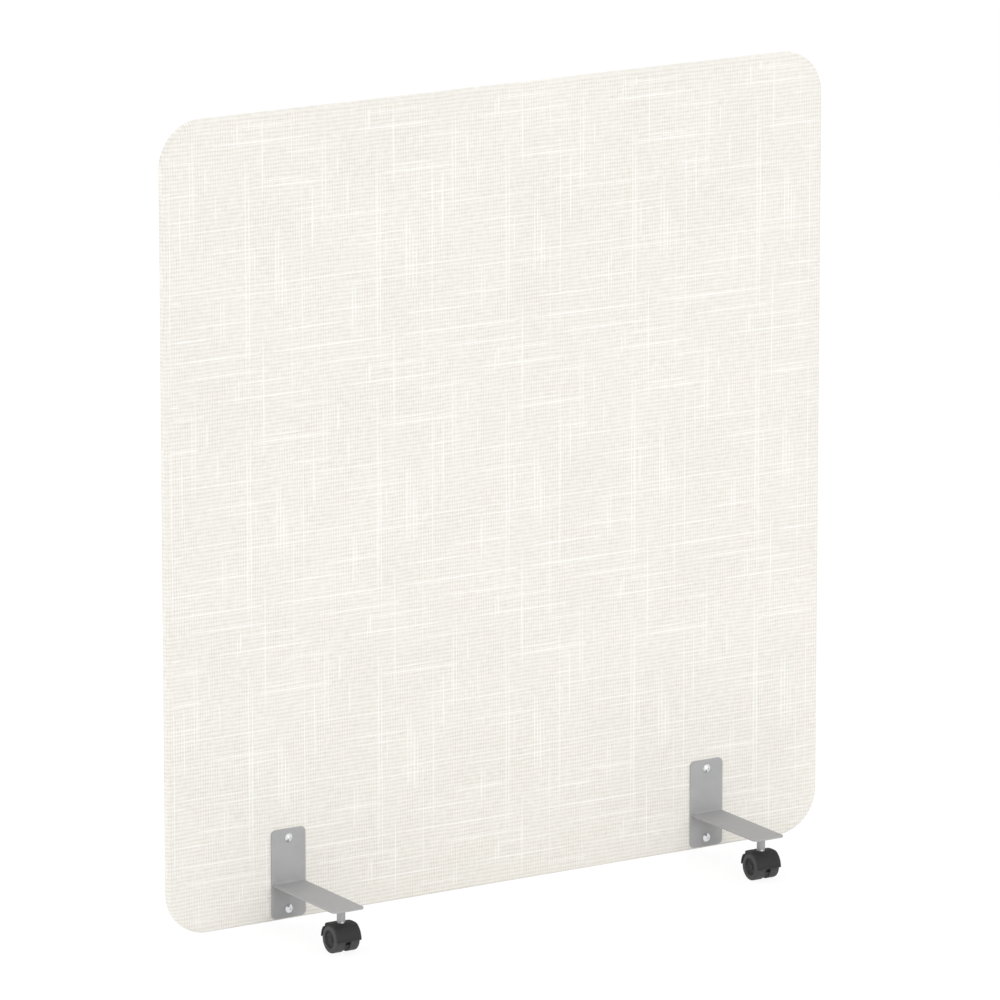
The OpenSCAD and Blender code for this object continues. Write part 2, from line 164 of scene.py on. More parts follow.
def new_piece(
    name: str, points: np.ndarray, faces: list[np.ndarray], smooth: bool = True
) -> bpy.types.Object:
    """Makes a mesh object at the origin from whole arrays.

    Args:
        name: the piece's name.
        points: places in metres, with x, y and z along the last axis.
        faces: arrays of corner numbers, one array for each number of corners.
        smooth: whether its faces are shaded smooth.

    Returns:
        The object, linked to the scene.
    """
    mesh = bpy.data.meshes.new(name)
    rows = [row for block in faces for row in block.tolist()]
    mesh.from_pydata(points.reshape(-1, 3).tolist(), [], rows)
    mesh.polygons.foreach_set("use_smooth", np.full(len(mesh.polygons), smooth))
    mesh.update()
    piece = bpy.data.objects.new(name, mesh)
    bpy.context.scene.collection.objects.link(piece)
    return piece


def turn_outwards(mesh: bpy.types.Mesh) -> None:
    """Turns every face of a closed mesh outwards.

    Args:
        mesh: the mesh, which is changed.
    """
    shape = bmesh.new()
    shape.from_mesh(mesh)
    bmesh.ops.recalc_face_normals(shape, faces=shape.faces)
    shape.to_mesh(mesh)
    shape.free()


def dress(piece: bpy.types.Object, material: bpy.types.Material) -> None:
    """Puts one material on every slot of a piece, so that its faces keep their slot numbers.

    Args:
        piece: the piece.
        material: what it is dressed in.
    """
    if not piece.data.materials:
        piece.data.materials.append(material)
    for index in range(len(piece.data.materials)):
        piece.data.materials[index] = material


def dress_nodes(nodes: Iterable[str], material: bpy.types.Material) -> None:
    """Dresses CAD pieces that are shown as they are, and reports them.

    Args:
        nodes: their names.
        material: what they are dressed in.
    """
    for node in nodes:
        dress(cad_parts[node], material)
        LOG.info("%s dressed", node)


class Finish(Protocol):
    """What every finish offers: the material it makes."""

    def material(self) -> bpy.types.Material:
        """Returns the finish as a new material."""


# ---- finishes ----


@dataclass(frozen=True)
class SlubWeave:
    """Polyester upholstery cloth, plain woven from uneven slub yarn.

    Its ribs and its thick and thin yarns give a dry, faintly striped cream, without gloss. The
    stripes of the ribs and of the upright threads are relief and painted shade at once: their
    dark parts darken the colour where the grooves between the threads lie in shade. The real
    threads are under half a millimetre, too fine to show, so ribs are drawn 6 mm apart and
    upright threads 4 mm apart. Each share says how much of a pattern goes into the one height
    that colour and relief follow. Scales are in cells of noise per metre along X, Y and Z: clouds
    are 140 to 200 mm large, the wobble of the ribs 60 to 110 mm, and patches of plainer weave 40
    to 80 mm.
    """

    name: str = "slub_weave_cloth"
    light: str = "faf7f1"
    middle: str = "edeae4"
    dark: str = "dad6cd"
    rib_pitch: float = 6.1 * MM
    rib_share: float = 0.18
    end_pitch: float = 4.3 * MM
    end_share: float = 0.19
    streak_width: float = 2.4 * MM
    streak_length: float = 14 * MM
    streak_depth_scale: float = 30
    weft_share: float = 0.65
    warp_share: float = 0.6
    cloud_scale: Triple = (5, 5, 7)
    cloud_share: float = 0.25
    wobble_scale: Triple = (9, 9, 16)
    patch_scale: Triple = (24, 24, 13)
    patch_range: tuple[float, float] = (0.4, 0.58)
    relief: float = 0.3 * MM
    relief_strength: float = 0.5
    roughness: float = 0.94
    specular: float = 0.2
    sheen: float = 0.12
    sheen_roughness: float = 0.5

    def material(self) -> bpy.types.Material:
        """Adds ribs, streaks both ways and slow cloudiness to one height, from dark to light.

        Ribs run everywhere, and the upright threads only show in patches.

        Returns:
            The cloth.
        """
        material = new_material(self.name)
        tree = material.node_tree
        place = add_node(tree, "ShaderNodeTexCoord").outputs["Object"]
        axes = add_node(tree, "ShaderNodeSeparateXYZ", {0: place}).outputs
        long, deep, short = 1 / self.streak_length, self.streak_depth_scale, 1 / self.streak_width
        wobble = self._grain(tree, place, self.wobble_scale, 2)
        weft = self._grain(tree, place, (long, deep, short), 3)
        warp = self._grain(tree, place, (short, deep, long), 3)
        cloud = self._grain(tree, place, self.cloud_scale, 2)
        patch = self._grain(tree, place, self.patch_scale, 2)
        # Painted shade: the troughs of the rib and thread stripes darken the colour as well as the
        # bump.
        ribs = self._stripe(tree, axes["Z"], wobble, self.rib_pitch)
        ends = self._stripe(tree, axes["X"], wobble, self.end_pitch)
        shown = add_node(tree, "ShaderNodeMapRange", {
            "Value": patch, "From Min": self.patch_range[0], "From Max": self.patch_range[1]})
        ends = add_node(tree, "ShaderNodeMath", {0: ends, 1: shown}, operation="MULTIPLY")
        height: Any = 0.5
        for source, share in ((ribs, self.rib_share), (ends, self.end_share)):
            height = add_node(tree, "ShaderNodeMath", {0: source, 1: share, 2: height},
                              operation="MULTIPLY_ADD")
        for source, share in (
                (weft, self.weft_share), (warp, self.warp_share), (cloud, self.cloud_share)):
            centred = add_node(tree, "ShaderNodeMath", {0: source, 1: 0.5}, operation="SUBTRACT")
            height = add_node(tree, "ShaderNodeMath", {0: centred, 1: share, 2: height},
                              operation="MULTIPLY_ADD")
        colour = add_node(tree, "ShaderNodeValToRGB", {"Fac": height}, stops=(
            (0.0, self.dark), (0.5, self.middle), (1.0, self.light)))
        bump = add_node(tree, "ShaderNodeBump", {
            "Height": height, "Strength": self.relief_strength, "Distance": self.relief})
        surface = add_node(tree, "ShaderNodeBsdfPrincipled", {
            "Base Color": colour, "Roughness": self.roughness,
            "Specular IOR Level": self.specular, "Sheen Weight": self.sheen,
            "Sheen Roughness": self.sheen_roughness, "Normal": bump})
        add_node(tree, "ShaderNodeOutputMaterial", {"Surface": surface})
        return material

    @staticmethod
    def _grain(
        tree: bpy.types.NodeTree, place: bpy.types.NodeSocket, scale: Triple, detail: float
    ) -> bpy.types.Node:
        """Adds noise whose cells are stretched: noise of the place times a scale on each axis.

        Args:
            tree: the material's tree.
            place: the place on the piece.
            scale: cells per metre along each axis.
            detail: how many finer layers it has.

        Returns:
            The noise, about 0.5.
        """
        stretched = add_node(tree, "ShaderNodeMapping", {"Vector": place, "Scale": scale})
        return add_node(tree, "ShaderNodeTexNoise", {
            "Vector": stretched, "Scale": 1.0, "Detail": detail})

    @staticmethod
    def _stripe(
        tree: bpy.types.NodeTree, along: bpy.types.NodeSocket, wobble: bpy.types.Node, pitch: float
    ) -> bpy.types.Node:
        """Adds an even stripe: the sine of the place over the pitch, shifted by a slow wobble.

        Args:
            tree: the material's tree.
            along: the coordinate that the stripes follow each other along, in metres.
            wobble: slow noise, worth one pitch of shift over its whole range.
            pitch: distance from stripe to stripe.

        Returns:
            The stripe, from -1 to 1.
        """
        turns = add_node(tree, "ShaderNodeMath", {0: along, 1: 2 * math.pi / pitch},
                         operation="MULTIPLY")
        shifted = add_node(tree, "ShaderNodeMath", {0: wobble, 1: 2 * math.pi, 2: turns},
                           operation="MULTIPLY_ADD")
        return add_node(tree, "ShaderNodeMath", {0: shifted}, operation="SINE")


@dataclass(frozen=True)
class SlubYarn:
    """The thick parts of the same yarn, loose on top of the weave, painted whiter than the cloth
    for the light that they catch there.
    """

    name: str = "loose_slub_yarn"
    # Both colours are whiter than the cloth's: painted light for what the loose slubs catch on top.
    light: str = "fcfbf8"
    dark: str = "f8f6f2"
    fibre_pitch: float = 1.6 * MM
    fibre_range: tuple[float, float] = (0.3, 0.6)
    relief: float = 0.1 * MM
    relief_strength: float = 0.3
    roughness: float = 0.9
    specular: float = 0.2
    sheen: float = 0.2

    def material(self) -> bpy.types.Material:
        """Lets short fibres, two to a cell of noise, break up the brightness of white yarn.

        Returns:
            The yarn.
        """
        material = new_material(self.name)
        tree = material.node_tree
        place = add_node(tree, "ShaderNodeTexCoord").outputs["Object"]
        fibres = add_node(tree, "ShaderNodeTexNoise", {
            "Vector": place, "Scale": 1 / self.fibre_pitch / 2, "Detail": 2})
        colour = add_node(tree, "ShaderNodeValToRGB", {"Fac": fibres}, stops=zip(
            self.fibre_range, (self.dark, self.light)))
        bump = add_node(tree, "ShaderNodeBump", {
            "Height": fibres, "Strength": self.relief_strength, "Distance": self.relief})
        surface = add_node(tree, "ShaderNodeBsdfPrincipled", {
            "Base Color": colour, "Roughness": self.roughness,
            "Specular IOR Level": self.specular, "Sheen Weight": self.sheen, "Normal": bump})
        add_node(tree, "ShaderNodeOutputMaterial", {"Surface": surface})
        return material


@dataclass(frozen=True)
class GrainFinish:
    """A finish with one grain: noise that shifts its colour, its gloss and its relief a little.

    It serves powder coat, moulded nylon, zinc plate, batting and board, which differ in colour, in
    gloss, in how coarse the grain is and in how it is stretched. A slow noise, whose cells are
    larger than the grain by the factor slow, keeps large faces from being even.
    """

    name: str
    light: str
    dark: str
    grain: float
    relief: float
    roughness: float
    spread: float = 0.06
    metallic: float = 0.0
    specular: float = 0.5
    stretched: Triple = (1.0, 1.0, 1.0)
    slow: float = 25
    colour_range: tuple[float, float] = (0.35, 0.65)
    gloss_range: tuple[float, float] = (0.3, 0.7)
    relief_strength: float = 0.5

    def material(self) -> bpy.types.Material:
        """Drives colour by both noises, roughness by the slow one and bump by the grain.

        Returns:
            The finish.
        """
        material = new_material(self.name)
        tree = material.node_tree
        place = add_node(tree, "ShaderNodeTexCoord").outputs["Object"]
        stretched = add_node(tree, "ShaderNodeMapping", {"Vector": place, "Scale": self.stretched})
        fine = add_node(tree, "ShaderNodeTexNoise", {
            "Vector": stretched, "Scale": 1 / self.grain, "Detail": 3})
        slow = add_node(tree, "ShaderNodeTexNoise", {
            "Vector": place, "Scale": 1 / self.slow / self.grain, "Detail": 2})
        both = add_node(tree, "ShaderNodeMath", {0: fine, 1: slow}, operation="ADD")
        mean = add_node(tree, "ShaderNodeMath", {0: both, 1: 0.5}, operation="MULTIPLY")
        colour = add_node(tree, "ShaderNodeValToRGB", {"Fac": mean}, stops=zip(
            self.colour_range, (self.dark, self.light)))
        gloss = add_node(tree, "ShaderNodeMapRange", {
            "Value": slow, "From Min": self.gloss_range[0], "From Max": self.gloss_range[1],
            "To Min": self.roughness - self.spread, "To Max": self.roughness + self.spread})
        bump = add_node(tree, "ShaderNodeBump", {
            "Height": fine, "Strength": self.relief_strength, "Distance": self.relief})
        surface = add_node(tree, "ShaderNodeBsdfPrincipled", {
            "Base Color": colour, "Metallic": self.metallic, "Roughness": gloss,
            "Specular IOR Level": self.specular, "Normal": bump})
        add_node(tree, "ShaderNodeOutputMaterial", {"Surface": surface})
        return material


# Polyester powder baked on steel sheet: an even mid grey, satin, with a very fine orange peel. The
# peel is under a millimetre, and is drawn just coarse enough to break up the reflections.
POWDER_COAT = GrainFinish("powder_coated_steel", "b0b0b1", "a6a6a7", 1.2 * MM, 0.05 * MM, 0.5)
# Zinc plated and clear passivated steel: bright and a little blue, with faint turning marks.
ZINC_PLATE = GrainFinish("zinc_plated_steel", "ebecee", "d6d8db", 0.5 * MM, 0.01 * MM, 0.3,
                         metallic=1.0, stretched=(1.0, 1.0, 6.0))
# Black glass-filled nylon, moulded in a spark-eroded tool: satin, nearly without texture.
HOOD_NYLON = GrainFinish("moulded_black_nylon", "363637", "2f2f30", 0.8 * MM, 0.02 * MM, 0.6,
                         specular=0.22)
# The pedal's nylon is a little glossier than the hood's, and painted a shade darker for the
# shade that the arm above casts on the top of the caster.
SHADED_PEDAL_NYLON = GrainFinish("shaded_pedal_nylon", "262627", "202021", 0.8 * MM, 0.02 * MM, 0.5,
                          specular=0.25)
# Dark grey moulded nylon of the wheels: a little paler than the hoods, and darker and duller
# inside the ring on their faces.
WHEEL_NYLON = GrainFinish("moulded_grey_nylon", "49494a", "414142", 0.9 * MM, 0.02 * MM, 0.6,
                          specular=0.3)
DISH_NYLON = GrainFinish("dull_dish_nylon", "434344", "3c3c3d", 0.9 * MM, 0.02 * MM, 0.75,
                         specular=0.15)
# Needled polyester batting: soft white fibres, matt.
BATTING = GrainFinish("needled_batting", "f2f0ea", "e2dfd6", 3 * MM, 0.4 * MM, 0.92,
                      specular=0.1)
# Raw particle board: pressed chips, pale brown, dry.
BOARD = GrainFinish("pressed_board", "c3a57c", "9c7d57", 4 * MM, 0.2 * MM, 0.8, specular=0.2)


# ---- panel ----


@dataclass(frozen=True)
class PanelCover:
    """One cover of the panel, a cloth shell that wraps from its face to the middle of the edge.

    The rings on the flat face lie between first_inset edge radii and last_inset corner radii from
    the outline. Inside them, spokes shrink the last ring to the share hub of its size.
    """

    face: Face
    edge_r: float = 6 * MM
    thickness: float = 0.8 * MM
    seam_half: float = 0.05 * MM
    first_inset: float = 1.2
    last_inset: float = 0.9
    hub: float = 0.02
    corner_steps: int = 28
    side_steps: int = 44
    edge_steps: int = 9
    inset_steps: int = 14
    spoke_steps: int = 26

    def outline(self) -> tuple[np.ndarray, np.ndarray]:
        """Works out the panel's outline as a spine and an outward direction.

        The outline is a rectangle of the panel's size less its corner radius, the spine, plus that
        radius along the direction. Straight sides hold the direction still while the spine moves,
        and corners hold the spine still while the direction turns by a quarter.

        Returns:
            Spine and direction, each N x 2 in x and z.
        """
        low, high = self.face.box()
        middle = (low + high) / 2
        half = (high - low) / 2 - PANEL_CORNER_R
        signs = np.array([[1, 1], [-1, 1], [-1, -1], [1, -1]], dtype=float)
        corners = middle[[0, 2]] + signs * half[[0, 2]]
        spine, heading = [], []
        for index, corner in enumerate(corners):
            turn = np.linspace(0, math.pi / 2, self.corner_steps) + index * math.pi / 2
            arc = np.stack([np.cos(turn), np.sin(turn)], axis=1)
            heading.append(arc)
            spine.append(np.repeat(corner[None], len(turn), axis=0))
            share = np.linspace(0, 1, self.side_steps + 2)[1:-1, None]
            following = corners[(index + 1) % len(corners)]
            spine.append(corner + share * (following - corner))
            heading.append(np.repeat(arc[-1:], self.side_steps, axis=0))
        return np.concatenate(spine), np.concatenate(heading)

    def shell(self) -> tuple[np.ndarray, np.ndarray]:
        """Works out the rings of both surfaces, from the seam to the middle of the face.

        A ring has an inset from the outline and a depth from the middle of the thickness. The
        first rings follow a quarter circle round the edge, the next are insets on the face, and
        the last shrink towards the middle.

        Returns:
            R x N x 3 places of the outer surface and the same of the inner one.
        """
        low, high = self.face.box()
        top = self.face.level()
        spine, heading = self.outline()
        middle = (low + high)[[0, 2]] / 2
        layers = []
        for sunk in (0.0, self.thickness):
            turn = np.linspace(0, math.pi / 2, self.edge_steps)
            radius = self.edge_r - sunk
            inset = sunk + radius * (1 - np.cos(turn))
            depth = top - self.edge_r + radius * np.sin(turn)
            on_face = np.geomspace(self.edge_r * self.first_inset,
                                   PANEL_CORNER_R * self.last_inset, self.inset_steps)
            inset = np.concatenate([[sunk], inset, on_face])
            flat = spine[None] + (PANEL_CORNER_R - inset)[:, None, None] * heading[None]
            shrink = np.linspace(1, self.hub, self.spoke_steps)[1:, None, None]
            spokes = middle + (flat[-1:] - middle) * shrink
            flat = np.concatenate([flat, spokes])
            on_top = np.full(self.inset_steps + len(spokes), top - sunk)
            depth = np.concatenate([[self.seam_half], depth, on_top])
            level = np.broadcast_to(depth[:, None], flat.shape[:2]) * self.face.value
            layers.append(np.stack([flat[..., 0], level, flat[..., 1]], axis=2))
        return layers[0], layers[1]

    def build(self, finish: Finish) -> bpy.types.Object:
        """Makes the cover as one closed shell and puts it in place of its CAD node.

        Args:
            finish: what it is dressed in.

        Returns:
            The finished piece.
        """
        outer, inner = self.shell()
        rings, around = outer.shape[:2]
        points = np.concatenate([outer.reshape(-1, 3), inner.reshape(-1, 3)])
        ring, spot = np.meshgrid(np.arange(rings - 1), np.arange(around), indexing="ij")
        here, beside = ring * around + spot, ring * around + (spot + 1) % around
        quads = np.stack([here, beside, beside + around, here + around], axis=2).reshape(-1, 4)
        under = quads[:, ::-1] + rings * around
        rim = np.arange(around)
        following = (rim + 1) % around
        seam = np.stack([following, rim, rim + rings * around, following + rings * around], axis=1)
        cap = (rings - 1) * around + rim
        caps = np.stack([cap, (cap + rings * around)[::-1]])
        faces = [quads, under, seam, caps]
        if self.face is Face.FRONT:
            faces = [block[:, ::-1] for block in faces]
        piece = new_piece(self.face.named("cloth"), points, faces)
        dress(piece, finish.material())
        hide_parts(self.face.named("cover"))
        self.face.named("batting")
        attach(piece, PANEL_BODY)
        return piece


@dataclass(frozen=True)
class RunPlan:
    """How the slubs of one run are drawn by chance for one repeat of the cloth.

    Attributes:
        count: how many bundles there are.
        lengths: the shortest and the longest.
        lean: the power with which lengths rise, under 1 for more long ones.
        widths: the thinnest and the thickest, as factors of the full width.
        most: how many yarns a bundle has at most, side by side.
    """

    count: int
    lengths: tuple[float, float]
    lean: float
    widths: tuple[float, float]
    most: int = 1


@dataclass(frozen=True)
class SlubYarns:
    """The thick places of the yarn that stand out of one cover, all in one mesh.

    The cloth's pattern repeats: the slubs are drawn for one repeat, laid out in all of them and
    cut short where they would leave the flat face. Upright ones are finer, reach further and come
    singly or in pairs. Real slubs are half a millimetre to a millimetre wide, and they are drawn
    about twice as wide so that they show. A strand's section is a half ellipse with a foot that
    reaches under the cover's surface. It swells by a half sine less the share tip at either end,
    so that its ends keep a little width.
    """

    face: Face
    seed: int
    repeat: tuple[float, float] = (229 * MM, 390 * MM)
    weft: RunPlan = RunPlan(15, (65 * MM, 225 * MM), 0.9, (0.5, 0.9))
    warp: RunPlan = RunPlan(13, (35 * MM, 360 * MM), 1.0, (0.35, 0.7), most=2)
    bundle_pitch: float = 5.6 * MM
    bundle_shift: float = 12 * MM
    bundle_shortest: float = 0.8
    jitter: float = 0.8
    half_width: float = 1.2 * MM
    height: float = 0.25 * MM
    margin: float = 9 * MM
    shortest: float = 12 * MM
    stations: int = 9
    crown_steps: int = 4
    foot_reach: float = 0.9
    foot_depth: float = 0.35
    tip: float = 0.04
    wander: float = 0.35 * MM
    wander_length: float = 45 * MM

    def draw(self, run: Run, rng: np.random.Generator) -> np.ndarray:
        """Draws one repeat's slubs of one run.

        Places are spread evenly over the repeat, in a shuffled order, each with a jitter of less
        than the distance between them. The yarns of a bundle lie an even pitch apart.

        Args:
            run: weft or warp.
            rng: the seeded source of chance.

        Returns:
            Start along, place across, length and width factor of each, in four rows.
        """
        plan = self.weft if run is Run.WEFT else self.warp
        along, across = self.repeat if run is Run.WEFT else self.repeat[::-1]
        count = plan.count
        low, high = plan.lengths
        share = rng.permutation(np.linspace(0, 1, count))
        length = low * (high / low) ** (share ** plan.lean)
        start = (rng.permutation(count) + rng.uniform(0, self.jitter, count)) / count * along
        place = (rng.permutation(count) + rng.uniform(0, self.jitter, count)) / count * across
        if plan.most > 1:
            yarns = rng.integers(1, plan.most + 1, count)
            turn = np.concatenate([np.arange(number) for number in yarns])
            length, start, place = (np.repeat(row, yarns) for row in (length, start, place))
            place = place + turn * self.bundle_pitch
            start = start + rng.uniform(-self.bundle_shift, self.bundle_shift, len(turn))
            length = length * rng.uniform(self.bundle_shortest, 1.0, len(turn))
        width = rng.uniform(*plan.widths, len(length))
        return np.stack([start, place, length, width])

    def lay(self, run: Run, drawn: np.ndarray) -> np.ndarray:
        """Lays one repeat's slubs out in every repeat, and cuts them at the edge of the flat face.

        The face is a rounded rectangle: a slub may reach as far as a side, less what the corner's
        circle takes off at its place.

        Args:
            run: weft or warp.
            drawn: what draw() gives.

        Returns:
            Start along, place across, length and width factor of each, M x 4.
        """
        along, across = (0, 1) if run is Run.WEFT else (1, 0)
        low, high = (corner[[0, 2]] for corner in self.face.box())
        middle, half = (low + high) / 2, (high - low) / 2 - self.margin
        counts = [math.ceil(half[axis] / self.repeat[axis]) + 1 for axis in (along, across)]
        steps = np.meshgrid(*(np.arange(-count, count) for count in counts))
        shift_along, shift_across = (grid.ravel()[:, None] for grid in steps)
        start, place, length, width = drawn
        start = (start + shift_along * self.repeat[along]).ravel()
        place = (place + shift_across * self.repeat[across]).ravel()
        length, width = (np.tile(row, len(shift_along)) for row in (length, width))
        radius = PANEL_CORNER_R - self.margin
        past = np.maximum(np.abs(place) - (half[across] - radius), 0)
        reach = half[along] - radius + np.sqrt(np.maximum(radius ** 2 - past ** 2, 0))
        finish = np.minimum(start + length, reach)
        start = np.maximum(start, -reach)
        kept = (finish - start > self.shortest) & (past < radius)
        return np.column_stack([start + middle[along], place + middle[across], finish - start,
                                width])[kept]

    def strands(self, run: Run, laid: np.ndarray, rng: np.random.Generator) -> np.ndarray:
        """Works out the surface of every slub of one run as one array.

        Each is a low half ellipse carried along its run, which swells from thin ends by the square
        root of a sine and wanders sideways by a slow sine of its own phase.

        Args:
            run: weft or warp.
            laid: what lay() gives.
            rng: the seeded source of chance.

        Returns:
            M x stations x corners x 3 places in metres.
        """
        share = np.linspace(0, 1, self.stations)
        arch = np.sin(np.pi * (self.tip + (1 - 2 * self.tip) * share))
        swell = np.sqrt(arch)[None] * laid[:, 3:4]
        phase = rng.uniform(0, 2 * math.pi, (len(laid), 1))
        wander = self.wander * np.sin(phase + share[None] * laid[:, 2:3] / self.wander_length)
        turn = np.linspace(0, math.pi, self.crown_steps)
        across = np.concatenate([np.cos(turn), [-self.foot_reach, self.foot_reach]])
        lift = np.concatenate([np.sin(turn), [-self.foot_depth, -self.foot_depth]])
        side = wander[..., None] + self.half_width * swell[..., None] * across
        rise = self.face.level() + self.height * swell[..., None] * lift
        forth = (share[None] * laid[:, 2:3])[..., None] + np.zeros_like(side)
        forth, side = laid[:, 0, None, None] + forth, laid[:, 1, None, None] + side
        x, z = (forth, side) if run is Run.WEFT else (side, forth)
        return np.stack([x, rise * self.face.value, z], axis=3)

    def build(self, finish: Finish) -> bpy.types.Object:
        """Makes the slubs as closed strands in one mesh.

        Args:
            finish: what they are dressed in.

        Returns:
            The finished piece.
        """
        rng = np.random.default_rng(self.seed)
        places = np.concatenate(
            [self.strands(run, self.lay(run, self.draw(run, rng)), rng) for run in Run])
        strands, stations, around = places.shape[:3]
        strand, station, spot = np.meshgrid(
            np.arange(strands), np.arange(stations - 1), np.arange(around), indexing="ij")
        here = (strand * stations + station) * around + spot
        beside = (strand * stations + station) * around + (spot + 1) % around
        quads = np.stack([here, beside, beside + around, here + around], axis=3).reshape(-1, 4)
        start = (np.arange(strands) * stations)[:, None] * around + np.arange(around)
        ends = np.concatenate([start[:, ::-1], start + (stations - 1) * around])
        piece = new_piece(self.face.named("slubs"), places, [quads, ends], smooth=False)
        turn_outwards(piece.data)
        dress(piece, finish.material())
        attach(piece, PANEL_BODY)
        return piece


@dataclass(frozen=True)
class Panel:
    """The panel: board, battings, covers and their slubs, with a seed of chance for each side."""

    seeds: tuple[tuple[Face, int], ...] = ((Face.FRONT, 11), (Face.REAR, 23))

    def build(self) -> None:
        """Builds both covers and dresses what they hide."""
        for face, seed in self.seeds:
            LOG.info("%s", PanelCover(face).build(SlubWeave()).name)
            LOG.info("%s", SlubYarns(face, seed).build(SlubYarn()).name)
        dress_nodes(["core_board"], BOARD.material())
        dress_nodes([face.named("batting") for face in Face], BATTING.material())


# ---- brackets and casters ----


@dataclass(frozen=True)
class EasedCopy:
    """A copy of a CAD node. When ease is above 0, its sharp edges are broken, as the real
    piece's are.

    Corners nearer than weld are one corner, faces that turn by less than level are one face, and
    an edge that turns by crease or more is sharp.
    """

    node: str
    ease: float
    slot: str
    body: str
    weld: float = 0.001 * MM
    level: float = math.radians(0.5)
    crease: float = math.radians(28)

    def build(self, material: bpy.types.Material) -> bpy.types.Object:
        """Copies the node's mesh and merges its corners and flat faces. If ease is above 0, it also
        bevels its edges.

        Args:
            material: what the copy is dressed in.

        Returns:
            The finished piece.
        """
        shape = bmesh.new()
        shape.from_mesh(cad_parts[self.node].data)
        bmesh.ops.remove_doubles(shape, verts=shape.verts, dist=self.weld)
        bmesh.ops.dissolve_limit(
            shape, angle_limit=self.level, verts=shape.verts, edges=shape.edges)
        for edge in shape.edges:
            edge.smooth = len(edge.link_faces) == 2 and edge.calc_face_angle() < self.crease
        for polygon in shape.faces:
            polygon.smooth = True
            polygon.material_index = 0
        mesh = bpy.data.meshes.new(f"{self.node}_eased")
        shape.to_mesh(mesh)
        shape.free()
        piece = bpy.data.objects.new(f"{self.node}_eased", mesh)
        bpy.context.scene.collection.objects.link(piece)
        if self.ease > 0:
            bevel = piece.modifiers.new("eased_edges", "BEVEL")
            bevel.width = self.ease
            bevel.segments = 2
            bevel.limit_method = "ANGLE"
            bevel.angle_limit = self.crease
            bevel.use_clamp_overlap = True
            bevel.harden_normals = True
        dress(piece, material)
        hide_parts(self.node)
        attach(piece, self.body)
        LOG.info("%s", piece.name)
        return piece


@dataclass(frozen=True)
class Brackets:
    """The four welded brackets and the screws and sleeve nuts that hold them to the panel."""

    sheet_ease: float = 0.5 * MM
    bush_ease: float = 0.3 * MM

    def build(self) -> None:
        """Builds the powder-coated pieces and dresses the zinc ones."""
        coat = POWDER_COAT.material()
        zinc = ZINC_PLATE.material()
        eases = {"plate": self.sheet_ease, "arm": 0.0, "bush": self.bush_ease}
        for station in STATIONS:
            for part, ease in eases.items():
                EasedCopy(f"{station}_{part}", ease, "grey_steel", PANEL_BODY).build(coat)
            dress_nodes([f"{station}_stem", f"{station}_stem_ring"], zinc)
        dress_nodes(["sleeve_nuts", "front_screws", "rear_screws"], zinc)


@dataclass(frozen=True)
class Casters:
    """The four twin-wheel casters."""

    pedal_ease: float = 0.3 * MM
    dish_r: float = 13.05 * MM

    def build(self) -> None:
        """Builds the moulded pieces, the pedals with eased edges, and dresses the metal ones."""
        black = HOOD_NYLON.material()
        darker = SHADED_PEDAL_NYLON.material()
        grey = WHEEL_NYLON.material()
        dish = DISH_NYLON.material()
        zinc = ZINC_PLATE.material()
        for station in STATIONS:
            EasedCopy(f"{station}_hood", 0.0, "hood_plastic", f"{station}_caster").build(black)
            # The pedal is painted darker than the hood: painted shade for the arm's shadow on the
            # caster.
            EasedCopy(f"{station}_brake_pedal", self.pedal_ease, "hood_plastic",
                      f"{station}_brake").build(darker)
            for wheel in (f"{station}_wheel_1", f"{station}_wheel_2"):
                piece = EasedCopy(wheel, 0.0, "wheel_plastic", f"{wheel}_body").build(grey)
                self.dull_dish(piece.data, dish)
            dress_nodes([f"{station}_axle", f"{station}_pedal_pin"], zinc)

    def dull_dish(self, wheel: bpy.types.Mesh, material: bpy.types.Material) -> None:
        """Gives the faces inside the ring of a wheel a finish of their own.

        The wheel's axis runs through the middle of its box, along the box's shortest side. A face
        is inside when all its corners are nearer to that axis than the ring.

        Args:
            wheel: the wheel's mesh.
            material: the finish of the dish.
        """
        places = np.empty(len(wheel.vertices) * 3)
        wheel.vertices.foreach_get("co", places)
        places = places.reshape(-1, 3)
        low, high = places.min(axis=0), places.max(axis=0)
        away = places - (low + high) / 2
        away[:, np.argmin(high - low)] = 0
        inside = np.linalg.norm(away, axis=1) < self.dish_r
        corners = np.empty(len(wheel.loops), dtype=np.int32)
        wheel.loops.foreach_get("vertex_index", corners)
        starts = np.empty(len(wheel.polygons), dtype=np.int32)
        wheel.polygons.foreach_get("loop_start", starts)
        dished = np.logical_and.reduceat(inside[corners], starts)
        wheel.materials.append(material)
        slots = np.where(dished, len(wheel.materials) - 1, 0).astype(np.int32)
        wheel.polygons.foreach_set("material_index", slots)


# ---- studio ----


@dataclass(frozen=True)
class Lamp:
    """One soft square lamp that looks at the middle of the panel."""

    name: str
    place: Triple
    size: float
    watts: float
    target: Triple = (0.0, 0.0, 0.6)

    def build(self) -> None:
        """Hangs the lamp, tilted from straight down and turned towards its target."""
        light = bpy.data.lights.new(self.name, "AREA")
        light.size = self.size
        light.energy = self.watts
        lamp = bpy.data.objects.new(self.name, light)
        aim = np.array(self.target) - np.array(self.place)
        lamp.location = self.place
        lamp.rotation_euler = (
            math.atan2(math.hypot(aim[0], aim[1]), -aim[2]), 0.0, math.atan2(-aim[0], aim[1]))
        bpy.context.scene.collection.objects.link(lamp)


